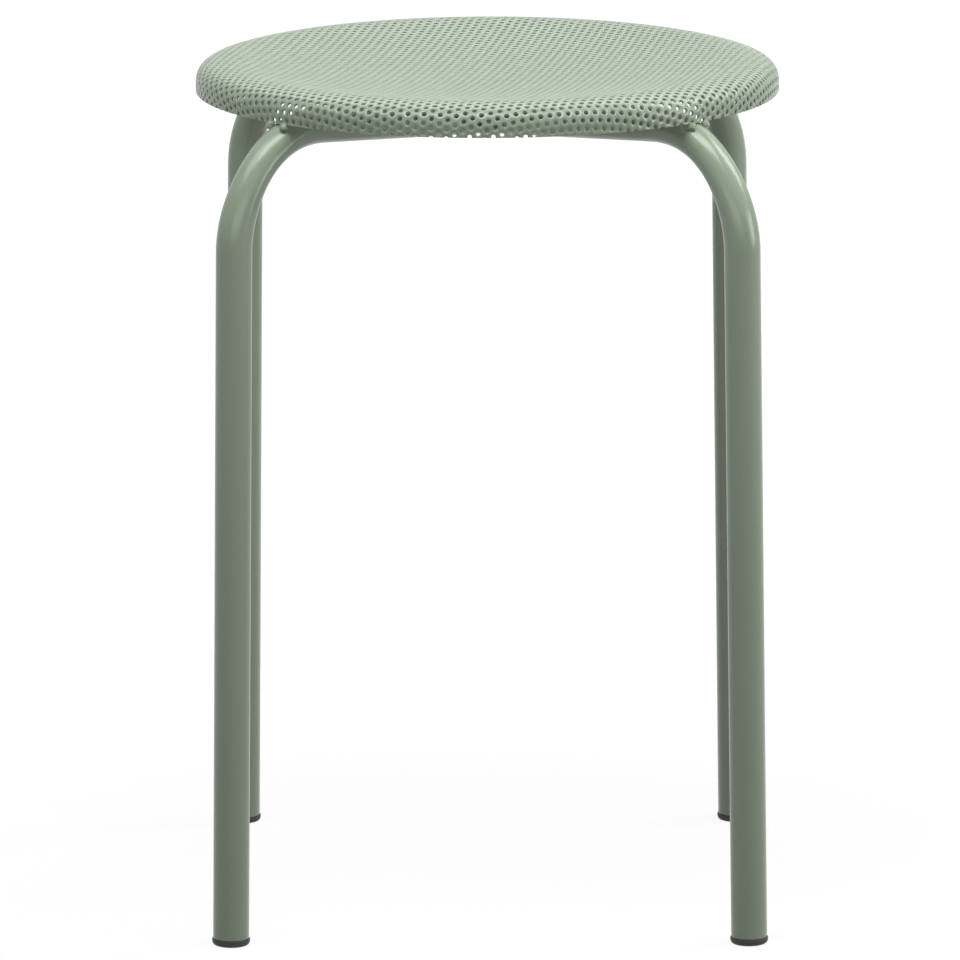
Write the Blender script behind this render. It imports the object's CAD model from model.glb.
# %% [markdown]
# # A stacking stool with a perforated steel seat
# The real stool is five pieces of steel and four plastic feet. A round seat is drawn from
# perforated sheet. Four bent tubes carry it and are welded to its rim and to each other, and
# powder coat covers it all. The CAD frame already holds every piece at its real size. This
# script dresses it: each piece is built again with the detail that the eye looks for, in the
# same place, and the CAD solid behind it is hidden.

# %% Load the frame
import math

import bmesh
import bpy
from mathutils import Matrix, Vector


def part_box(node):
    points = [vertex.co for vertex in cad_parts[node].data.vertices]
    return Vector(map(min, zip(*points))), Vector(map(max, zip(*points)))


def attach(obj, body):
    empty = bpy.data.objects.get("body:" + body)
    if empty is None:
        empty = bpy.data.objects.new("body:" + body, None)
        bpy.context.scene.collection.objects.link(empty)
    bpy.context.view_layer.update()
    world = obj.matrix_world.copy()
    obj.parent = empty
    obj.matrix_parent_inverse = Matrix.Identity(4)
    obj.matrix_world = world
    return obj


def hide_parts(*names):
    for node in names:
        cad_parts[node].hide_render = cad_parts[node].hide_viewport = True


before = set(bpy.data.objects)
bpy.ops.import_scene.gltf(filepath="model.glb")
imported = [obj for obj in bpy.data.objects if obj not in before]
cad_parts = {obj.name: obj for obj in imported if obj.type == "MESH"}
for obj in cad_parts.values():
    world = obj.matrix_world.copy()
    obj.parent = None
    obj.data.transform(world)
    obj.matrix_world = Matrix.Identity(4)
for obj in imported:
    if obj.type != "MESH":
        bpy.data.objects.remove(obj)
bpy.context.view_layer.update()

# %% [markdown]
# Blender works in metres, and a maker thinks in millimetres, so every size below is written in
# millimetres and goes through `mm`. Sizes that the frame can tell are read from its boxes. The
# others repeat the drawing of the stool.

# %% Sizes of the stool
def mm(value):
    return value / 1000


pan_low, pan_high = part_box("seat_pan")
SEAT_RADIUS = pan_high.x
SEAT_HEIGHT = pan_high.z
EDGE_HEIGHT = pan_low.z
SHEET = mm(1.5)

TUBE_RADIUS = mm(19) / 2
LEG_CIRCLE = mm(193.2)
LEG_SPLAY = math.radians(0.97)
BEND_RADIUS = mm(60.5)
RIM_GAP = mm(0.6)
HUB_GAP = mm(9.7)
FOOT_HEIGHT = mm(3.5)
CORNERS = {"front_left": -135, "front_right": -45, "rear_right": 45, "rear_left": 135}
print("seat radius and height, mm:", round(1000 * SEAT_RADIUS, 1), round(1000 * SEAT_HEIGHT, 1))

# %% [markdown]
# ## Small helpers
# Materials and Geometry Nodes are both trees of nodes. One function adds a node, sets its
# properties and fills its inputs: a number is typed into the socket, and a socket is linked.
# The others are the steps that every part of the scene needs again.

# %% Helpers
def add_node(tree, kind, inputs=None, **settings):
    node = tree.nodes.new(kind)
    for name, value in settings.items():
        setattr(node, name, value)
    for name, value in (inputs or {}).items():
        if isinstance(value, bpy.types.NodeSocket):
            tree.links.new(value, node.inputs[name])
        else:
            node.inputs[name].default_value = value
    return node


def math_node(tree, operation, *values):
    """The result of one sum on numbers or sockets."""
    node = add_node(tree, "ShaderNodeMath", dict(enumerate(values)), operation=operation)
    return node.outputs["Value"]


def vector_node(tree, operation, *values, scale=None):
    """The result of one sum on vectors."""
    inputs = dict(enumerate(values))
    if scale is not None:
        inputs["Scale"] = scale
    node = add_node(tree, "ShaderNodeVectorMath", inputs, operation=operation)
    return node.outputs["Value" if operation in ("LENGTH", "DISTANCE") else "Vector"]


def linear(hex_colour):
    """An sRGB colour such as 9DAE96 as the linear values that Blender's sockets take."""
    channels = [int(hex_colour[i : i + 2], 16) / 255 for i in (0, 2, 4)]
    return [c / 12.92 if c <= 0.04045 else ((c + 0.055) / 1.055) ** 2.4 for c in channels] + [1]


def empty_material(name):
    """A material, and its tree with no node in it yet."""
    material = bpy.data.materials.new(name)
    material.use_nodes = True
    material.node_tree.nodes.clear()
    return material, material.node_tree


def new_object(name, data):
    """An object with that data, in the scene."""
    thing = bpy.data.objects.new(name, data)
    bpy.context.scene.collection.objects.link(thing)
    return thing


def mesh_of(work, name):
    """A mesh from a finished bmesh, which is freed."""
    mesh = bpy.data.meshes.new(name)
    work.to_mesh(mesh)
    work.free()
    return mesh


# %% [markdown]
# ## The coat on the steel
# The steel is powder coated: dry paint is blown on and baked, so it flows into a skin about
# 0.1 mm thick. That gives the eye three things. The colour is even, because nothing is brushed.
# The gloss is satin, so highlights are broad and soft. And the skin is never quite flat: it
# has the faint waves that painters call orange peel, a millimetre or two apart. A real wave is
# too fine for the picture, so it is drawn a little coarser, as a bump.

# %% Powder-coated steel
PEEL_PITCH = mm(2.2)
GRAIN_PITCH = mm(0.7)
GLOSS_DRIFT = mm(60)
COAT_ROUGHNESS = (0.23, 0.25)
COAT_TONES = (linear("98A991"), linear("A2B39B"))


def powder_coated_steel():
    material, tree = empty_material("powder_coated_steel")
    place = add_node(tree, "ShaderNodeTexCoord").outputs["Object"]

    peel = add_node(
        tree, "ShaderNodeTexNoise", {"Vector": place, "Scale": 1 / PEEL_PITCH, "Detail": 2.0}
    )
    grain = add_node(
        tree, "ShaderNodeTexNoise", {"Vector": place, "Scale": 1 / GRAIN_PITCH, "Detail": 1.0}
    )
    waves = add_node(
        tree,
        "ShaderNodeBump",
        {"Height": peel.outputs["Fac"], "Strength": 0.5, "Distance": mm(0.06)},
    )
    skin = add_node(
        tree,
        "ShaderNodeBump",
        {
            "Height": grain.outputs["Fac"],
            "Strength": 0.4,
            "Distance": mm(0.02),
            "Normal": waves.outputs["Normal"],
        },
    )
    drift = add_node(
        tree, "ShaderNodeTexNoise", {"Vector": place, "Scale": 1 / GLOSS_DRIFT, "Detail": 3.0}
    )
    gloss = add_node(
        tree,
        "ShaderNodeMapRange",
        {
            "Value": drift.outputs["Fac"],
            "From Min": 0.3,
            "From Max": 0.7,
            "To Min": COAT_ROUGHNESS[0],
            "To Max": COAT_ROUGHNESS[1],
        },
    )
    tone = add_node(
        tree,
        "ShaderNodeMix",
        {"Factor": grain.outputs["Fac"], "A": COAT_TONES[0], "B": COAT_TONES[1]},
        data_type="RGBA",
    )
    coat = add_node(
        tree,
        "ShaderNodeBsdfPrincipled",
        {
            "Base Color": tone.outputs["Result"],
            "Roughness": gloss.outputs["Result"],
            "Normal": skin.outputs["Normal"],
            "IOR": 1.6,
        },
    )
    add_node(tree, "ShaderNodeOutputMaterial", {"Surface": coat.outputs["BSDF"]})
    return material


steel = powder_coated_steel()
print("made", steel.name)

# %% [markdown]
# ## The plastic of the feet
# Feet are moulded from black polyethylene, which is tough and slides on a floor. The mould is
# spark eroded, so the plastic has a fine dull grain. Where the foot rubs the floor it is a
# little paler.

# %% Moulded polyethylene
SPARK_GRAIN = mm(0.5)
RUBBED_HEIGHTS = (mm(0.1), mm(0.8))
PLASTIC_TONES = (linear("323330"), linear("4F4F4D"))


def moulded_polyethylene():
    material, tree = empty_material("moulded_polyethylene")
    place = add_node(tree, "ShaderNodeTexCoord").outputs["Object"]

    grain = add_node(
        tree, "ShaderNodeTexNoise", {"Vector": place, "Scale": 1 / SPARK_GRAIN, "Detail": 3.0}
    )
    bump = add_node(
        tree,
        "ShaderNodeBump",
        {"Height": grain.outputs["Fac"], "Strength": 0.5, "Distance": mm(0.05)},
    )
    height = add_node(tree, "ShaderNodeSeparateXYZ", {"Vector": place}).outputs["Z"]
    rubbed = add_node(
        tree,
        "ShaderNodeMapRange",
        {
            "Value": height,
            "From Min": RUBBED_HEIGHTS[0],
            "From Max": RUBBED_HEIGHTS[1],
            "To Min": 1.0,
            "To Max": 0.0,
        },
    )
    scuffs = math_node(tree, "MULTIPLY", rubbed.outputs["Result"], grain.outputs["Fac"])
    tone = add_node(
        tree,
        "ShaderNodeMix",
        {"Factor": scuffs, "A": PLASTIC_TONES[0], "B": PLASTIC_TONES[1]},
        data_type="RGBA",
    )
    plastic = add_node(
        tree,
        "ShaderNodeBsdfPrincipled",
        {
            "Base Color": tone.outputs["Result"],
            "Roughness": 0.55,
            "Normal": bump.outputs["Normal"],
            "IOR": 1.5,
        },
    )
    add_node(tree, "ShaderNodeOutputMaterial", {"Surface": plastic.outputs["BSDF"]})
    return material


plastic = moulded_polyethylene()
print("made", plastic.name)

# %% [markdown]
# ## The seat's profile
# The pan is round, so one line from its middle to its cut edge describes it: a shallow dish, a
# soft crest, a tighter roll, and a short skirt. All of them are arcs that run into each other
# without a corner. The line is made as a curve here, and the sheet is bent along it below.

# %% Profile of the pan
DISH_RADIUS = mm(875)
CREST_RADIUS = mm(45)
ROLL_RADIUS = mm(9.25)
ROLL_WIDTH = mm(19.7)
PROFILE_STEP = mm(0.4)

crest_x = SEAT_RADIUS - ROLL_WIDTH
crest_z = SEAT_HEIGHT - CREST_RADIUS
roll_x = SEAT_RADIUS - ROLL_RADIUS
roll_turn = math.asin((roll_x - crest_x) / (CREST_RADIUS - ROLL_RADIUS))
roll_z = crest_z + (CREST_RADIUS - ROLL_RADIUS) * math.cos(roll_turn)
dish_turn = math.asin(crest_x / (DISH_RADIUS + CREST_RADIUS))
dish_z = crest_z + (DISH_RADIUS + CREST_RADIUS) * math.cos(dish_turn)

dish_end = DISH_RADIUS * dish_turn
crest_end = dish_end + CREST_RADIUS * (dish_turn + roll_turn)
roll_end = crest_end + ROLL_RADIUS * (math.pi / 2 - roll_turn)
profile_length = roll_end + roll_z - EDGE_HEIGHT


def pan_profile(run):
    """(distance from the axis, height) of the top skin, run metres along it from the middle."""
    if run < dish_end:
        turn = run / DISH_RADIUS
        return DISH_RADIUS * math.sin(turn), dish_z - DISH_RADIUS * math.cos(turn)
    if run < crest_end:
        turn = (run - dish_end) / CREST_RADIUS - dish_turn
        return crest_x + CREST_RADIUS * math.sin(turn), crest_z + CREST_RADIUS * math.cos(turn)
    if run < roll_end:
        turn = (run - crest_end) / ROLL_RADIUS + roll_turn
        return roll_x + ROLL_RADIUS * math.sin(turn), roll_z + ROLL_RADIUS * math.cos(turn)
    return SEAT_RADIUS, roll_z - (run - roll_end)


def curve_object(name, points):
    """An open line through the points, as a curve object that isn't part of the stool."""
    data = bpy.data.curves.new(name, "CURVE")
    data.dimensions = "3D"
    spline = data.splines.new("POLY")
    spline.points.add(len(points) - 1)
    for place, point in zip(spline.points, points):
        place.co = (*point, 1)
    return new_object(name, data)


steps = round(profile_length / PROFILE_STEP)
runs = [profile_length * i / steps for i in range(steps + 1)]
profile = curve_object("pan_profile", [(x, 0, z) for x, z in map(pan_profile, runs)])
print("profile from middle to edge, mm:", round(1000 * profile_length, 1))

# %% [markdown]
# ## The perforated sheet
# Perforated steel is punched flat: rows of round holes, each row shifted by half a pitch. A disc
# is cut from it, straight through whatever holes lie on its edge, and drawn into the pan. The
# holes near the rim turn with the sheet and the edge stays scalloped. Geometry Nodes can follow
# that, step by step.
#
# 1. One cell of the pattern: a hexagon of sheet with a round hole, whose edge has a lip.
# 2. A triangular lattice of points, with a cell on each one.
# 3. What lies past the blank's edge is pulled back to it, and what has no width left is removed.
# 4. The flat sheet gets its thickness, and the lips of the holes are sunk on both sides.
# 5. Each point of the sheet moves to the pan: its distance from the middle becomes its run
#    along the profile.
#
# The tree has named inputs, so the same tree makes the middle and the rim. The pan is three
# pieces because a mesh of four thousand holes would be too heavy to store as one.

# %% Sheet tree: its inputs
HOLE_SIDES = 12
CELL_SIDES = 6
SUNK = "sunk"

sheet_tree = bpy.data.node_groups.new("perforated_sheet", "GeometryNodeTree")
sheet_sockets = {
    name: sheet_tree.interface.new_socket(name, in_out="INPUT", socket_type=kind)
    for name, kind in {
        "Profile": "NodeSocketObject",
        "Pitch": "NodeSocketFloat",
        "Hole Radius": "NodeSocketFloat",
        "Lip": "NodeSocketFloat",
        "Thickness": "NodeSocketFloat",
        "Blank Radius": "NodeSocketFloat",
        "Inner Limit": "NodeSocketFloat",
        "Outer Limit": "NodeSocketFloat",
        "Lattice Turn": "NodeSocketFloat",
        "Lattice Shift": "NodeSocketVector",
        "Rows": "NodeSocketInt",
        "Rim Stretch": "NodeSocketFloat",
        "Stretch Start": "NodeSocketFloat",
        "Material": "NodeSocketMaterial",
    }.items()
}
sheet_tree.interface.new_socket("Geometry", in_out="OUTPUT", socket_type="NodeSocketGeometry")
given = add_node(sheet_tree, "NodeGroupInput").outputs

# %% [markdown]
# A hexagon and a circle share the same corners in direction, so the cell starts as the circle of
# the hole. Its edge is extruded twice. The first new points move out by the width of the lip,
# and the second ones out to the hexagon. The distance to the hexagon in any direction is a
# formula: half a pitch, divided by the cosine of the angle from the middle of the nearest side.
#
# The lip is what the coat does at a hole. It shrinks back from the sharp edge and leaves a soft
# round one, which catches the light all round the hole. Here only its width is made. The points
# of the hole itself are marked as sunk, and they move down once the sheet has its thickness.

# %% Sheet tree: one cell
hole = add_node(
    sheet_tree,
    "GeometryNodeMeshCircle",
    {"Vertices": HOLE_SIDES, "Radius": given["Hole Radius"]},
    fill_type="NONE",
)
lip = add_node(
    sheet_tree,
    "GeometryNodeExtrudeMesh",
    {"Mesh": hole.outputs["Mesh"], "Offset Scale": 0.0},
    mode="EDGES",
)
here = add_node(sheet_tree, "GeometryNodeInputPosition").outputs["Position"]
outwards = vector_node(sheet_tree, "NORMALIZE", here)
lip_radius = math_node(sheet_tree, "ADD", given["Hole Radius"], given["Lip"])
wide_lip = add_node(
    sheet_tree,
    "GeometryNodeSetPosition",
    {
        "Geometry": lip.outputs["Mesh"],
        "Selection": lip.outputs["Top"],
        "Position": vector_node(sheet_tree, "SCALE", outwards, scale=lip_radius),
    },
)
marked = add_node(
    sheet_tree,
    "GeometryNodeStoreNamedAttribute",
    {
        "Geometry": wide_lip.outputs["Geometry"],
        "Name": SUNK,
        "Value": math_node(sheet_tree, "SUBTRACT", 1.0, lip.outputs["Top"]),
    },
    data_type="FLOAT",
    domain="POINT",
)
ring = add_node(
    sheet_tree,
    "GeometryNodeExtrudeMesh",
    {"Mesh": marked.outputs["Geometry"], "Selection": lip.outputs["Top"], "Offset Scale": 0.0},
    mode="EDGES",
)
flat = add_node(sheet_tree, "ShaderNodeSeparateXYZ", {"Vector": here})
angle = math_node(sheet_tree, "ARCTAN2", flat.outputs["Y"], flat.outputs["X"])
side_angle = 2 * math.pi / CELL_SIDES
from_side = math_node(sheet_tree, "WRAP", angle, side_angle / 2, -side_angle / 2)
half_pitch = math_node(sheet_tree, "MULTIPLY", given["Pitch"], 0.5)
to_hexagon = math_node(
    sheet_tree, "DIVIDE", half_pitch, math_node(sheet_tree, "COSINE", from_side)
)
cell = add_node(
    sheet_tree,
    "GeometryNodeSetPosition",
    {
        "Geometry": ring.outputs["Mesh"],
        "Selection": ring.outputs["Top"],
        "Position": vector_node(sheet_tree, "SCALE", outwards, scale=to_hexagon),
    },
)

# %% [markdown]
# The lattice starts as a square grid whose rows are closer than its columns. Every second row
# then moves by half a pitch, and the whole lattice is turned and shifted to lie on the sheet as
# it does in the photograph.

# %% Sheet tree: the lattice
row_pitch = math_node(sheet_tree, "MULTIPLY", given["Pitch"], math.sin(math.pi / 3))
gaps = math_node(sheet_tree, "SUBTRACT", given["Rows"], 1.0)
grid = add_node(
    sheet_tree,
    "GeometryNodeMeshGrid",
    {
        "Size X": math_node(sheet_tree, "MULTIPLY", gaps, given["Pitch"]),
        "Size Y": math_node(sheet_tree, "MULTIPLY", gaps, row_pitch),
        "Vertices X": given["Rows"],
        "Vertices Y": given["Rows"],
    },
)
row = math_node(
    sheet_tree, "ROUND", math_node(sheet_tree, "DIVIDE", flat.outputs["Y"], row_pitch)
)
odd = math_node(sheet_tree, "FLOORED_MODULO", row, 2.0)
shift = add_node(
    sheet_tree,
    "ShaderNodeCombineXYZ",
    {"X": math_node(sheet_tree, "MULTIPLY", odd, half_pitch)},
)
staggered = add_node(
    sheet_tree,
    "GeometryNodeSetPosition",
    {"Geometry": grid.outputs["Mesh"], "Offset": shift.outputs["Vector"]},
)
turn = add_node(sheet_tree, "ShaderNodeCombineXYZ", {"Z": given["Lattice Turn"]}).outputs["Vector"]
shifted = add_node(
    sheet_tree,
    "GeometryNodeTransform",
    {"Geometry": staggered.outputs["Geometry"], "Translation": given["Lattice Shift"]},
)
lattice = add_node(
    sheet_tree,
    "GeometryNodeTransform",
    {"Geometry": shifted.outputs["Geometry"], "Rotation": turn},
)
distance = vector_node(sheet_tree, "LENGTH", here)
outside = add_node(
    sheet_tree,
    "FunctionNodeBooleanMath",
    {
        0: math_node(sheet_tree, "LESS_THAN", distance, given["Inner Limit"]),
        1: math_node(sheet_tree, "GREATER_THAN", distance, given["Outer Limit"]),
    },
    operation="OR",
)
wanted = add_node(
    sheet_tree,
    "GeometryNodeDeleteGeometry",
    {"Geometry": lattice.outputs["Geometry"], "Selection": outside.outputs["Boolean"]},
    domain="POINT",
)
tiles = add_node(
    sheet_tree,
    "GeometryNodeInstanceOnPoints",
    {
        "Points": wanted.outputs["Geometry"],
        "Instance": cell.outputs["Geometry"],
        "Rotation": turn,
    },
)
realized = add_node(
    sheet_tree, "GeometryNodeRealizeInstances", {"Geometry": tiles.outputs["Instances"]}
)
WELD_DISTANCE = mm(0.02)
flat_sheet = add_node(
    sheet_tree,
    "GeometryNodeMergeByDistance",
    {"Geometry": realized.outputs["Geometry"], "Distance": WELD_DISTANCE},
)

# %% [markdown]
# Cutting the disc comes next. A boolean would be slow and fragile on thousands of holes. It is
# enough to pull every point that lies past the edge back to it, along its own radius. A face
# whose points were all past the edge has no width left and goes.

# %% Sheet tree: cut the blank
past = math_node(
    sheet_tree,
    "GREATER_THAN",
    distance,
    math_node(sheet_tree, "SUBTRACT", given["Blank Radius"], WELD_DISTANCE),
)
pulled_back = add_node(
    sheet_tree,
    "GeometryNodeSetPosition",
    {
        "Geometry": flat_sheet.outputs["Geometry"],
        "Selection": past,
        "Position": vector_node(sheet_tree, "SCALE", outwards, scale=given["Blank Radius"]),
    },
)
cut_sheet = add_node(
    sheet_tree,
    "GeometryNodeDeleteGeometry",
    {"Geometry": pulled_back.outputs["Geometry"], "Selection": past},
    domain="FACE",
)
clean_sheet = add_node(
    sheet_tree,
    "GeometryNodeMergeByDistance",
    {"Geometry": cut_sheet.outputs["Geometry"], "Distance": WELD_DISTANCE},
)

# %% [markdown]
# Extruding the faces down makes the walls of the holes and the underside, and leaves the top
# open, so the flat sheet is joined back on. At this stage Z is the depth below the top skin, so
# the marked points can be sunk: down on the top skin, and up on the underside.

# %% Sheet tree: thickness
down = add_node(sheet_tree, "ShaderNodeCombineXYZ", {"Z": -1.0}).outputs["Vector"]
extruded = add_node(
    sheet_tree,
    "GeometryNodeExtrudeMesh",
    {
        "Mesh": clean_sheet.outputs["Geometry"],
        "Offset": down,
        "Offset Scale": given["Thickness"],
        "Individual": False,
    },
    mode="FACES",
)
both = add_node(sheet_tree, "GeometryNodeJoinGeometry")
sheet_tree.links.new(clean_sheet.outputs["Geometry"], both.inputs["Geometry"])
sheet_tree.links.new(extruded.outputs["Mesh"], both.inputs["Geometry"])
solid_sheet = add_node(
    sheet_tree,
    "GeometryNodeMergeByDistance",
    {"Geometry": both.outputs["Geometry"], "Distance": WELD_DISTANCE},
)

# %% [markdown]
# Drawing the pan is the last step. `Sample Curve` finds the place and the direction on the
# profile at each point's run. The depth is measured square to the profile, so the sheet keeps
# its thickness round the roll. Near the rim the press stretches the sheet a little, which
# moves the holes apart by a fiftieth.

# %% Sheet tree: draw the pan
flat_place = vector_node(sheet_tree, "MULTIPLY", here, (1, 1, 0))
radius = vector_node(sheet_tree, "LENGTH", flat_place)
radial = vector_node(sheet_tree, "NORMALIZE", flat_place)
level = add_node(sheet_tree, "ShaderNodeSeparateXYZ", {"Vector": here}).outputs["Z"]
sunk = add_node(
    sheet_tree, "GeometryNodeInputNamedAttribute", {"Name": SUNK}, data_type="FLOAT"
).outputs["Attribute"]
side = math_node(
    sheet_tree,
    "MULTIPLY_ADD",
    math_node(sheet_tree, "DIVIDE", level, given["Thickness"]),
    2.0,
    1.0,
)
sinking = math_node(
    sheet_tree, "MULTIPLY", math_node(sheet_tree, "MULTIPLY", sunk, given["Lip"]), side
)
depth = math_node(sheet_tree, "SUBTRACT", level, sinking)
past_start = math_node(
    sheet_tree, "MAXIMUM", math_node(sheet_tree, "SUBTRACT", radius, given["Stretch Start"]), 0.0
)
run = math_node(
    sheet_tree, "ADD", radius, math_node(sheet_tree, "MULTIPLY", past_start, given["Rim Stretch"])
)
line = add_node(sheet_tree, "GeometryNodeObjectInfo", {"Object": given["Profile"]})
sample = add_node(
    sheet_tree,
    "GeometryNodeSampleCurve",
    {"Curves": line.outputs["Geometry"], "Length": run},
    mode="LENGTH",
)
at = add_node(sheet_tree, "ShaderNodeSeparateXYZ", {"Vector": sample.outputs["Position"]}).outputs
heading = add_node(
    sheet_tree, "ShaderNodeSeparateXYZ", {"Vector": sample.outputs["Tangent"]}
).outputs
new_radius = math_node(
    sheet_tree, "SUBTRACT", at["X"], math_node(sheet_tree, "MULTIPLY", heading["Z"], depth)
)
new_height = math_node(
    sheet_tree, "ADD", at["Z"], math_node(sheet_tree, "MULTIPLY", heading["X"], depth)
)
new_place = vector_node(
    sheet_tree,
    "ADD",
    vector_node(sheet_tree, "SCALE", radial, scale=new_radius),
    add_node(sheet_tree, "ShaderNodeCombineXYZ", {"Z": new_height}).outputs["Vector"],
)
drawn = add_node(
    sheet_tree,
    "GeometryNodeSetPosition",
    {"Geometry": solid_sheet.outputs["Geometry"], "Position": new_place},
)
unmarked = add_node(
    sheet_tree,
    "GeometryNodeRemoveAttribute",
    {"Geometry": drawn.outputs["Geometry"], "Name": SUNK},
)
whole = add_node(
    sheet_tree, "GeometryNodeRealizeInstances", {"Geometry": unmarked.outputs["Geometry"]}
)
painted = add_node(
    sheet_tree,
    "GeometryNodeSetMaterial",
    {"Geometry": whole.outputs["Geometry"], "Material": given["Material"]},
)
add_node(sheet_tree, "NodeGroupOutput", {"Geometry": painted.outputs["Geometry"]})
print("sheet tree:", len(sheet_tree.nodes), "nodes")

# %% [markdown]
# A tree does nothing until a modifier runs it. The helper below gives a bare object the
# modifier, sets its inputs by their identifiers, and keeps the result as a plain mesh. The
# normals of a closed mesh can then be made to point outwards, and the edges that are really
# sharp are marked, so that the rest shades smoothly.

# %% From a tree to a plain mesh
CREASE = math.radians(55)


def finish_mesh(mesh, material):
    """Faces outwards, smooth shading with real corners, one material."""
    work = bmesh.new()
    work.from_mesh(mesh)
    bmesh.ops.recalc_face_normals(work, faces=work.faces)
    work.to_mesh(mesh)
    work.free()
    mesh.shade_smooth()
    mesh.set_sharp_from_angle(angle=CREASE)
    mesh.materials.clear()
    mesh.materials.append(material)


def new_piece(name, mesh, material, slot, *replaced):
    """Show a mesh as a piece of the stool, in place of the CAD nodes that it stands for."""
    finish_mesh(mesh, material)
    mesh.name = name
    piece = new_object(name, mesh)
    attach(piece, "root")
    if replaced:
        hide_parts(*replaced)
    return piece


def mesh_from_tree(tree, sockets, values):
    """Run a Geometry Nodes tree once, and keep its result as a mesh."""
    holder = new_object("holder", bpy.data.meshes.new("holder"))
    modifier = holder.modifiers.new("tree", "NODES")
    modifier.node_group = tree
    for name, value in values.items():
        modifier[sockets[name].identifier] = value
    evaluated = holder.evaluated_get(bpy.context.evaluated_depsgraph_get())
    mesh = bpy.data.meshes.new_from_object(evaluated)
    holder.modifiers.remove(modifier)
    bpy.data.objects.remove(holder)
    return mesh


# %% [markdown]
# The holes are 3 mm across, lips and all, and their pitch is just under 5 mm, a stock pattern
# that leaves two thirds of the steel. The lattice's turn and shift were found by laying it over
# the front rim in the photograph. The three pieces have about the same number of holes, so the
# circles between them lie at the roots of a third and two thirds of the blank's radius squared.

# %% Seat pan
HOLE_PITCH = mm(4.95)
HOLE_RADIUS = mm(2.6) / 2
HOLE_LIP = mm(0.2)
RIM_STRETCH = 0.02
STRETCH_START = mm(125)
LATTICE_TURN = math.radians(17.95)
LATTICE_SHIFT = (mm(4.07), mm(0.89), 0)

blank_radius = STRETCH_START + (profile_length - STRETCH_START) / (1 + RIM_STRETCH)
reach = blank_radius + HOLE_PITCH
half_rows = math.ceil(reach / (HOLE_PITCH * math.sin(math.pi / 3))) + 1
sheet_values = {
    "Profile": profile,
    "Pitch": HOLE_PITCH,
    "Hole Radius": HOLE_RADIUS,
    "Lip": HOLE_LIP,
    "Thickness": SHEET,
    "Blank Radius": blank_radius,
    "Lattice Turn": LATTICE_TURN,
    "Lattice Shift": LATTICE_SHIFT,
    "Rows": 2 * half_rows + 1,
    "Rim Stretch": RIM_STRETCH,
    "Stretch Start": STRETCH_START,
    "Material": steel,
}
PIECES = ("seat_middle", "seat_shoulder", "seat_rim")
splits = [blank_radius * math.sqrt(i / len(PIECES)) for i in range(1, len(PIECES))]
for name, inner, outer in zip(PIECES, [-HOLE_PITCH] + splits, splits + [reach]):
    limits = {"Inner Limit": inner, "Outer Limit": outer}
    mesh = mesh_from_tree(sheet_tree, sheet_sockets, {**sheet_values, **limits})
    new_piece(name, mesh, steel, "powder_coat", "seat_pan")
    triangles = sum(len(face.vertices) - 2 for face in mesh.polygons)
    print(name, "triangles:", triangles)
bpy.data.objects.remove(profile)

# %% [markdown]
# ## The legs
# Each leg is one 19 mm tube, bent once on a draw bender. Bending flattens a thin tube, because
# the steel is stretched on the outer side and pressed together on the inner one, and the
# photograph shows it: the bends are slimmer than the straights. A plain sweep can't do that, so
# the rings of the tube are placed one by one, and those in the bend are drawn in. The outer
# side is round again where the seat's rim lies on it.
#
# The inner end is mitred. Four tubes meet there, so each is cut by two upright planes that
# stand at 45 degrees to it. A point of the last ring slides along the tube until it reaches the
# nearer plane.

# %% Axis of a leg
def leg_places():
    """The foot, the upright's direction, the bend's centre, the hub, and the fall of the run.

    Places are (distance from the stool's axis, height). The bend's top lies under the pan's cut
    edge, and the run is aimed so that the tube passes under the middle of the dish.
    """
    along = Vector((-math.sin(LEG_SPLAY), math.cos(LEG_SPLAY)))
    inwards = Vector((-math.cos(LEG_SPLAY), -math.sin(LEG_SPLAY)))
    floor = Vector((LEG_CIRCLE, 0))
    rim = Vector((SEAT_RADIUS - SHEET / 2, EDGE_HEIGHT))
    to_rim = BEND_RADIUS + TUBE_RADIUS + RIM_GAP
    offset = floor + inwards * BEND_RADIUS - rim
    shared = offset.dot(along)
    upright = -shared - math.sqrt(shared**2 - offset.dot(offset) + to_rim**2)
    centre = floor + inwards * BEND_RADIUS + along * upright
    hub = Vector((0, dish_z - DISH_RADIUS - SHEET - HUB_GAP - TUBE_RADIUS))
    aim = hub - centre
    fall = math.atan2(aim.y, aim.x) - math.acos(BEND_RADIUS / aim.length) - math.pi / 2
    return floor, along, centre, hub, fall


floor, along, bend_centre, hub, fall = leg_places()
print("run falls by, degrees:", round(math.degrees(fall), 2))
print("hub height, mm:", round(1000 * hub.y, 1))

# %% Rings of a tube
TUBE_SIDES = 64
BEND_STEPS = 36
OUTER_FLATTENING = mm(1.5) / TUBE_RADIUS
OUTER_SPAN = (0.0, 0.78)
INNER_FLATTENING = mm(1.6) / TUBE_RADIUS
INNER_SPAN = (0.15, 1.0)
END_ROUND = mm(0.5)
END_STEPS = 3


def hump(share, first, last):
    """A smooth rise from 0 to 1 and back, between two shares of the bend."""
    return math.sin(math.pi * min(max((share - first) / (last - first), 0), 1)) ** 2


def ring_of(centre, heading, outer_squash=0.0, inner_squash=0.0, shrink=0.0):
    """Points round the tube. The first lies on the side away from the bend's centre."""
    outer = Vector((heading.y, -heading.x))
    points = []
    for i in range(TUBE_SIDES):
        turn = 2 * math.pi * i / TUBE_SIDES
        out = (TUBE_RADIUS - shrink) * math.cos(turn)
        side = (TUBE_RADIUS - shrink) * math.sin(turn)
        out *= 1 - (outer_squash if out > 0 else inner_squash)
        place = centre + outer * out
        points.append(Vector((place.x, side, place.y)))
    return points


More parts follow.
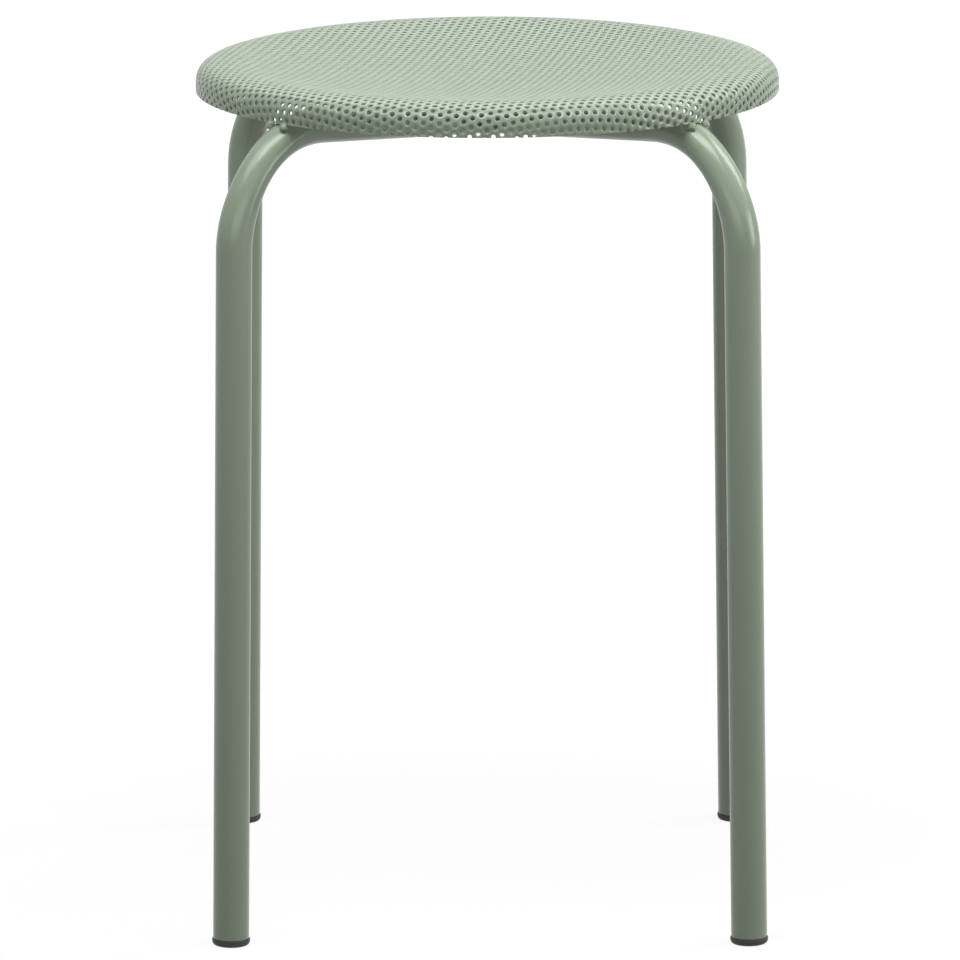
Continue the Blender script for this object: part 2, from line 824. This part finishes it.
def mitred(points, heading):
    """Slide each point along the tube to the nearer of the two mitre planes."""
    moved = []
    for point in points:
        slide = (point.x - abs(point.y)) / -heading.x
        moved.append(point + Vector((heading.x, 0, heading.y)) * slide)
    return moved


def leg_rings():
    rings = []
    for step in range(END_STEPS + 1):
        turn = math.pi / 2 * step / END_STEPS
        shrink = END_ROUND * (1 - math.sin(turn))
        lift = END_ROUND * (1 - math.cos(turn))
        rings.append(ring_of(floor + along * (FOOT_HEIGHT + lift), along, shrink=shrink))
    bend_angle = math.pi / 2 + fall - LEG_SPLAY
    for step in range(BEND_STEPS + 1):
        share = step / BEND_STEPS
        turn = LEG_SPLAY + bend_angle * share
        out = Vector((math.cos(turn), math.sin(turn)))
        heading = Vector((-math.sin(turn), math.cos(turn)))
        outer_squash = OUTER_FLATTENING * hump(share, *OUTER_SPAN)
        inner_squash = INNER_FLATTENING * hump(share, *INNER_SPAN)
        centre = bend_centre + out * BEND_RADIUS
        rings.append(ring_of(centre, heading, outer_squash, inner_squash))
    run = Vector((-math.cos(fall), -math.sin(fall)))
    rings.append(mitred(ring_of(hub, run), run))
    return rings


# %% [markdown]
# The rings are joined by quads. Each end is closed: the foot end by one flat face, the mitre by
# two, one on each of its planes. The straights need no rings of their own, because the first and
# the last ring of the bend already stand square to them.

# %% A closed tube from rings
def tube_mesh(rings, azimuth):
    work = bmesh.new()
    loops = [[work.verts.new(point) for point in ring] for ring in rings]
    for lower, upper in zip(loops, loops[1:]):
        for i in range(TUBE_SIDES):
            j = (i + 1) % TUBE_SIDES
            work.faces.new((lower[i], lower[j], upper[j], upper[i]))
    work.faces.new(loops[0])
    half = TUBE_SIDES // 2
    last = loops[-1]
    work.faces.new(last[: half + 1])
    work.faces.new(last[half:] + last[:1])
    turn = Matrix.Rotation(math.radians(azimuth), 4, "Z")
    bmesh.ops.transform(work, matrix=turn, verts=work.verts)
    return mesh_of(work, "tube")


for corner, azimuth in CORNERS.items():
    name = "leg_" + corner
    leg = new_piece(name + "_tube", tube_mesh(leg_rings(), azimuth), steel, "powder_coat", name)
    tops = (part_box(name)[1].z, max(vert.co.z for vert in leg.data.vertices))
    print(name, "top of the CAD tube and of this one, mm:", [round(1000 * z, 1) for z in tops])

# %% [markdown]
# ## The welds
# The seams are short runs of arc weld. A welder moves in small steps, and each step leaves a
# ripple, so a bead looks like a row of fallen coins. One tree makes them all: it sweeps a circle
# along a path, and lets the circle's radius rise and fall with each ripple and taper at the
# ends. The coat has flowed over the beads, which softens them.

# %% Weld tree
weld_tree = bpy.data.node_groups.new("weld_bead", "GeometryNodeTree")
weld_sockets = {
    name: weld_tree.interface.new_socket(name, in_out="INPUT", socket_type=kind)
    for name, kind in {
        "Path": "NodeSocketObject",
        "Radius": "NodeSocketFloat",
        "Ripple Pitch": "NodeSocketFloat",
        "Ripple Height": "NodeSocketFloat",
        "Lumpiness": "NodeSocketFloat",
        "Seed": "NodeSocketFloat",
        "Material": "NodeSocketMaterial",
    }.items()
}
weld_tree.interface.new_socket("Geometry", in_out="OUTPUT", socket_type="NodeSocketGeometry")
asked = add_node(weld_tree, "NodeGroupInput").outputs
BEAD_STEP = mm(0.18)
BEAD_SIDES = 20
TAPER_POWER = 4.0
LUMP_PITCH = mm(2.5)

path = add_node(weld_tree, "GeometryNodeObjectInfo", {"Object": asked["Path"]})
fine = add_node(
    weld_tree,
    "GeometryNodeResampleCurve",
    {"Curve": path.outputs["Geometry"], "Length": BEAD_STEP},
    mode="LENGTH",
)
spot = add_node(weld_tree, "GeometryNodeSplineParameter").outputs
phase = math_node(weld_tree, "DIVIDE", spot["Length"], asked["Ripple Pitch"])
half_turns = math_node(weld_tree, "MULTIPLY", phase, math.pi)
wave = math_node(weld_tree, "ABSOLUTE", math_node(weld_tree, "SINE", half_turns))
ripple = math_node(weld_tree, "MULTIPLY_ADD", wave, asked["Ripple Height"], 1.0)
from_middle = math_node(weld_tree, "MULTIPLY_ADD", spot["Factor"], 2.0, -1.0)
way_out = math_node(weld_tree, "ABSOLUTE", from_middle)
lost = math_node(weld_tree, "POWER", way_out, TAPER_POWER)
left_over = math_node(weld_tree, "MAXIMUM", math_node(weld_tree, "SUBTRACT", 1.0, lost), 0.0)
taper = math_node(weld_tree, "SQRT", left_over)
shape = math_node(weld_tree, "MULTIPLY", ripple, taper)
bead_radius = math_node(weld_tree, "MULTIPLY", shape, asked["Radius"])
circle = add_node(
    weld_tree, "GeometryNodeCurvePrimitiveCircle", {"Resolution": BEAD_SIDES, "Radius": 1.0}
)
swept = add_node(
    weld_tree,
    "GeometryNodeCurveToMesh",
    {
        "Curve": fine.outputs["Curve"],
        "Profile Curve": circle.outputs["Curve"],
        "Scale": bead_radius,
        "Fill Caps": True,
    },
)
spatter = add_node(
    weld_tree,
    "ShaderNodeTexNoise",
    {"W": asked["Seed"], "Scale": 1 / LUMP_PITCH, "Detail": 1.0},
    noise_dimensions="4D",
)
off_centre = vector_node(weld_tree, "SUBTRACT", spatter.outputs["Color"], (0.5, 0.5, 0.5))
lumpy = add_node(
    weld_tree,
    "GeometryNodeSetPosition",
    {
        "Geometry": swept.outputs["Mesh"],
        "Offset": vector_node(weld_tree, "SCALE", off_centre, scale=asked["Lumpiness"]),
    },
)
merged = add_node(
    weld_tree,
    "GeometryNodeMergeByDistance",
    {"Geometry": lumpy.outputs["Geometry"], "Distance": WELD_DISTANCE},
)
bead = add_node(
    weld_tree, "GeometryNodeRealizeInstances", {"Geometry": merged.outputs["Geometry"]}
)
coated = add_node(
    weld_tree,
    "GeometryNodeSetMaterial",
    {"Geometry": bead.outputs["Geometry"], "Material": asked["Material"]},
)
add_node(weld_tree, "NodeGroupOutput", {"Geometry": coated.outputs["Geometry"]})
print("weld tree:", len(weld_tree.nodes), "nodes")

# %% [markdown]
# The paths come from the metal. At the rim, a bead starts on the skirt just above its cut edge
# and runs down the flank of the tube. In the pairs of sizes below, the first is the bead's top
# end and the second its bottom end: how far out it lies, and its share of the way to the flank.
# At the hub, a bead follows the crease between two tubes, which is half an ellipse in the mitre
# plane.

# %% Rim welds
RIM_BEAD_ANGLE = math.radians(33.9)
RIM_BEAD_RADIUS = mm(2.1)
RIM_BEAD_ABOVE = mm(0.4)
RIM_BEAD_BELOW = mm(3.4)
RIM_BEAD_OUTWARDS = (mm(0.2), mm(1.6))
RIM_BEAD_SPREAD = (0.8, 1.1)
RIM_BEAD_STEPS = 12
RIM_LUMPS = mm(1.1)
RIM_RIPPLE = 0.12
RIPPLE_PITCH = mm(1.5)


def placed(points, azimuth):
    turn = Matrix.Rotation(math.radians(azimuth), 3, "Z")
    return [turn @ Vector(point) for point in points]


def rim_bead_path(side):
    """From the skirt down the flank of the tube, over the +X axis, as points top to bottom."""
    flank = side * TUBE_RADIUS * math.sin(RIM_BEAD_ANGLE)
    wall = SEAT_RADIUS - SHEET / 2
    heights = (EDGE_HEIGHT + RIM_BEAD_ABOVE, EDGE_HEIGHT - RIM_BEAD_BELOW)
    top, bottom = (
        Vector((wall + outwards, flank * spread, height))
        for outwards, spread, height in zip(RIM_BEAD_OUTWARDS, RIM_BEAD_SPREAD, heights)
    )
    return [top.lerp(bottom, i / RIM_BEAD_STEPS) for i in range(RIM_BEAD_STEPS + 1)]


def weld(name, points, azimuth, radius, lumpiness, seed, ripple):
    line = curve_object("weld_path", placed(points, azimuth))
    values = {
        "Path": line,
        "Radius": radius,
        "Ripple Pitch": RIPPLE_PITCH,
        "Ripple Height": ripple,
        "Lumpiness": lumpiness,
        "Seed": seed,
        "Material": steel,
    }
    mesh = mesh_from_tree(weld_tree, weld_sockets, values)
    bpy.data.objects.remove(line)
    new_piece(name + "_bead", mesh, steel, "powder_coat", name)


seed = 0.0
for corner, azimuth in CORNERS.items():
    for side_name, side in (("right", 1), ("left", -1)):
        seed += 1.0
        name = "rim_weld_%s_%s" % (corner, side_name)
        weld(name, rim_bead_path(side), azimuth, RIM_BEAD_RADIUS, RIM_LUMPS, seed, RIM_RIPPLE)
print("rim welds:", 2 * len(CORNERS))

# %% Hub welds
HUB_SIDES = {"right": 0, "rear": 90, "left": 180, "front": -90}
HUB_BEAD_RADIUS = mm(1.9)
HUB_BEAD_REACH = math.radians(68)
HUB_STEPS = 40
HUB_LUMPS = mm(0.6)
HUB_RIPPLE = 0.16


def hub_bead_path():
    """Along the crease between two legs, in the upright plane over the +X axis."""
    slope = Vector((math.cos(fall) / math.sqrt(2), 0, math.sin(fall)))
    long_radius = TUBE_RADIUS / math.sqrt(1 - slope.dot(slope))
    across = Vector((-slope.z, 0, slope.x)).normalized()
    centre = Vector((0, 0, hub.y))
    points = []
    for i in range(HUB_STEPS + 1):
        turn = HUB_BEAD_REACH * (2 * i / HUB_STEPS - 1)
        out = slope.normalized() * long_radius * math.cos(turn)
        points.append(centre + out + across * TUBE_RADIUS * math.sin(turn))
    return points


for side_name, azimuth in HUB_SIDES.items():
    seed += 1.0
    name = "hub_weld_" + side_name
    weld(name, hub_bead_path(), azimuth, HUB_BEAD_RADIUS, HUB_LUMPS, seed, HUB_RIPPLE)
print("hub welds:", len(HUB_SIDES))

# %% [markdown]
# ## The feet
# A foot is a moulded plug. Its flange covers the tube's end and is rounded where it meets the
# floor, and a ribbed barrel grips the bore. It is turned from one profile, like a thing made on
# a lathe. Below, a shallow ring is sunk into the sole and a small pip shows where the plastic
# entered the mould. The plug leans with its leg, so the sole is turned a little too low and is
# then cut flat at the floor.

# %% Feet
FOOT_RADIUS = mm(10)
FOOT_EDGE = mm(2.4)
FOOT_LIP = mm(0.35)
SOLE_OVERRUN = mm(0.3)
PIP_LEVEL = mm(0.05)
PIP_RING_LEVEL = mm(0.3)
PIP_RADII = (mm(0.7), mm(0.9), mm(1.2), mm(1.4))
RING_LEVEL = mm(0.15)
RING_RADII = (mm(4.6), mm(4.9), mm(5.5), mm(5.8))
FOOT_SIDES = 72
BARREL_RADIUS = mm(6.8)
FIN_RADIUS = mm(7.9)
FIN_STARTS = [mm(2.4), mm(6.6), mm(10.8)]
FIN_THICKNESS = mm(1.2)
FIN_CREST = (0.4, 0.7)
PLUG_LENGTH = mm(14)


def arc_points(centre, radius, first, last, count):
    """Points of an arc, as (distance from the axis, height), angles in degrees."""
    points = []
    for i in range(count + 1):
        turn = math.radians(first + (last - first) * i / count)
        points.append((centre[0] + radius * math.cos(turn), centre[1] + radius * math.sin(turn)))
    return points


def foot_profile():
    """From the pip in the sole, out round the flange, and up the finned barrel to its top."""
    sole = -SOLE_OVERRUN
    line = [(0, PIP_LEVEL)]
    line += zip(PIP_RADII, (PIP_LEVEL, PIP_RING_LEVEL, PIP_RING_LEVEL, sole))
    line += zip(RING_RADII, (sole, RING_LEVEL, RING_LEVEL, sole))
    edge_centre = (FOOT_RADIUS - FOOT_EDGE, FOOT_EDGE - SOLE_OVERRUN / 2)
    line += arc_points(edge_centre, FOOT_EDGE, -90, 0, 10)
    line += arc_points((FOOT_RADIUS - FOOT_LIP, FOOT_HEIGHT - FOOT_LIP), FOOT_LIP, 0, 90, 4)
    line.append((BARREL_RADIUS, FOOT_HEIGHT))
    for start in FIN_STARTS:
        low = FOOT_HEIGHT + start
        crest = [(FIN_RADIUS, low + FIN_THICKNESS * share) for share in FIN_CREST]
        line += [(BARREL_RADIUS, low), *crest, (BARREL_RADIUS, low + FIN_THICKNESS)]
    line += [(BARREL_RADIUS, FOOT_HEIGHT + PLUG_LENGTH), (0, FOOT_HEIGHT + PLUG_LENGTH)]
    return line


def foot_mesh(azimuth):
    work = bmesh.new()
    line = [work.verts.new((x, 0, z)) for x, z in foot_profile()]
    edges = [work.edges.new(pair) for pair in zip(line, line[1:])]
    bmesh.ops.spin(
        work, geom=line + edges, cent=(0, 0, 0), axis=(0, 0, 1), angle=2 * math.pi, steps=FOOT_SIDES
    )
    bmesh.ops.remove_doubles(work, verts=work.verts, dist=mm(0.005))
    lean = Matrix.Translation((LEG_CIRCLE, 0, 0)) @ Matrix.Rotation(-LEG_SPLAY, 4, "Y")
    turn = Matrix.Rotation(math.radians(azimuth), 4, "Z")
    bmesh.ops.transform(work, matrix=turn @ lean, verts=work.verts)
    for vert in work.verts:
        vert.co.z = max(vert.co.z, 0)
    return mesh_of(work, "foot")


for corner, azimuth in CORNERS.items():
    name = "foot_" + corner
    new_piece(name + "_plug", foot_mesh(azimuth), plastic, "foot_plastic", name)
print("feet:", len(CORNERS))

# %% [markdown]
# ## The floor and the light
# The picture is a catalogue shot: the stool stands on white, with soft light from above and from
# both sides. The floor is white because it glows where the camera or a reflection sees it, and
# not because the lamps are strong. For the lamps it is plain matt grey, so it holds the stool's
# soft shadow and sends only a little light back up under the seat. The sky does the same.

# %% Floor
FLOOR_SIZE = 14.0
FLOOR_TONE = "606060"
GLOW_NEAR = 0.9
GLOW_FAR = 1.0
GLOW_REACH = (0.3, 2.5)


def seen_directly(tree):
    """1 for a ray of the camera, a mirrored ray or a refracted one, and 0 for any other."""
    rays = add_node(tree, "ShaderNodeLightPath").outputs
    seen = math_node(tree, "MAXIMUM", rays["Is Camera Ray"], rays["Is Glossy Ray"])
    return math_node(tree, "MAXIMUM", seen, rays["Is Transmission Ray"])


def studio_white():
    material, tree = empty_material("studio_white")
    matt = add_node(tree, "ShaderNodeBsdfDiffuse", {"Color": linear(FLOOR_TONE)})
    place = add_node(tree, "ShaderNodeTexCoord").outputs["Object"]
    level = add_node(
        tree,
        "ShaderNodeMapRange",
        {
            "Value": vector_node(tree, "LENGTH", place),
            "From Min": GLOW_REACH[0],
            "From Max": GLOW_REACH[1],
            "To Min": GLOW_NEAR,
            "To Max": GLOW_FAR,
        },
    )
    glow = add_node(tree, "ShaderNodeEmission", {"Strength": level.outputs["Result"]})
    both = add_node(
        tree, "ShaderNodeAddShader", {0: matt.outputs["BSDF"], 1: glow.outputs["Emission"]}
    )
    mix = add_node(
        tree,
        "ShaderNodeMixShader",
        {"Fac": seen_directly(tree), 1: matt.outputs["BSDF"], 2: both.outputs["Shader"]},
    )
    add_node(tree, "ShaderNodeOutputMaterial", {"Surface": mix.outputs["Shader"]})
    return material


def floor_mesh():
    work = bmesh.new()
    bmesh.ops.create_grid(work, x_segments=1, y_segments=1, size=FLOOR_SIZE / 2)
    mesh = mesh_of(work, "floor")
    mesh.materials.append(studio_white())
    return mesh


ground = new_object("floor", floor_mesh())

# %% [markdown]
# Each lamp has its own task. The broad one overhead and the one high on the left make the soft
# patches on the bends. The one high on the right makes the narrow highlight there. The lamp
# behind lights the dish, the one in front the legs, and the right wall their right edges.

# %% Lamps
SEAT_MIDDLE = (0, 0, 0.4)
LEGS_MIDDLE = (0, 0, 0.25)
LEGS_LOW = (0, 0, 0.15)


def area_light(name, power, size, place, target):
    """A soft box: its power in watts, its two sides and its place in metres, and its aim."""
    data = bpy.data.lights.new(name, "AREA")
    data.energy = power
    data.shape = "RECTANGLE"
    data.size, data.size_y = size
    lamp = new_object(name, data)
    lamp.location = place
    lamp.rotation_euler = (Vector(target) - Vector(place)).to_track_quat("-Z", "Y").to_euler()


area_light("overhead", 28, (1.7, 0.8), (0.05, -0.6, 2.6), SEAT_MIDDLE)
area_light("left_high", 12, (1.2, 1.1), (-1.15, -0.3, 2.4), SEAT_MIDDLE)
area_light("behind", 15, (2.4, 1.3), (0.3, 2.0, 2.2), SEAT_MIDDLE)
area_light("front", 11.5, (2.4, 1.2), (-0.3, -2.6, 1.2), LEGS_MIDDLE)
area_light("right_high", 19, (0.8, 1.3), (1.75, 0.65, 2.05), SEAT_MIDDLE)
area_light("right_wall", 16, (1.2, 1.0), (2.4, -0.6, 0.8), LEGS_LOW)

# %% Sky
SKY_LOW = 0.05
SKY_HIGH = 0.1

world = bpy.data.worlds.new("studio")
bpy.context.scene.world = world
world.use_nodes = True
sky = world.node_tree
sky.nodes.clear()
way = add_node(sky, "ShaderNodeTexCoord").outputs["Generated"]
climb = add_node(sky, "ShaderNodeSeparateXYZ", {"Vector": way}).outputs["Z"]
dome = add_node(sky, "ShaderNodeMapRange", {"Value": climb, "To Min": SKY_LOW, "To Max": SKY_HIGH})
level = add_node(
    sky,
    "ShaderNodeMapRange",
    {"Value": seen_directly(sky), "To Min": dome.outputs["Result"], "To Max": 1.0},
)
air = add_node(sky, "ShaderNodeBackground", {"Strength": level.outputs["Result"]})
add_node(sky, "ShaderNodeOutputWorld", {"Surface": air.outputs["Background"]})
bpy.context.scene.view_settings.view_transform = "Standard"

# %% [markdown]
# ## The camera
# The stool fills the picture with hardly any perspective, so the photograph was taken from far
# away with a long lens: about five metres, looking down by twelve degrees. These numbers come
# from matching the legs, the feet and the outline of the seat.

# %% Camera
CAMERA_DISTANCE = 5.157
CAMERA_HEIGHT = 1.3077
CAMERA_PITCH = 0.2077
CAMERA_YAW = -0.00088
CAMERA_ROLL = -0.003
STOOL_TURN = 0.0015
FOCAL_LENGTH_PIXELS = 9827
PICTURE_WIDTH_PIXELS = 960
SENSOR_WIDTH = 36
CAMERA_LENS = FOCAL_LENGTH_PIXELS / PICTURE_WIDTH_PIXELS * SENSOR_WIDTH

data = bpy.data.cameras.new("camera")
data.sensor_fit = "HORIZONTAL"
data.sensor_width = SENSOR_WIDTH
data.lens = CAMERA_LENS
data.clip_end = 50
camera = new_object("camera", data)
aim = Matrix.Rotation(-STOOL_TURN, 4, "Z")
pan_round = Matrix.Rotation(-CAMERA_YAW, 4, "Z")
tip = Matrix.Rotation(math.pi / 2 - CAMERA_PITCH, 4, "X")
roll = Matrix.Rotation(CAMERA_ROLL, 4, "Z")
place = Matrix.Translation((0, -CAMERA_DISTANCE, CAMERA_HEIGHT))
camera.matrix_world = aim @ place @ pan_round @ tip @ roll
bpy.context.scene.camera = camera
print("lens, mm:", round(CAMERA_LENS, 1))
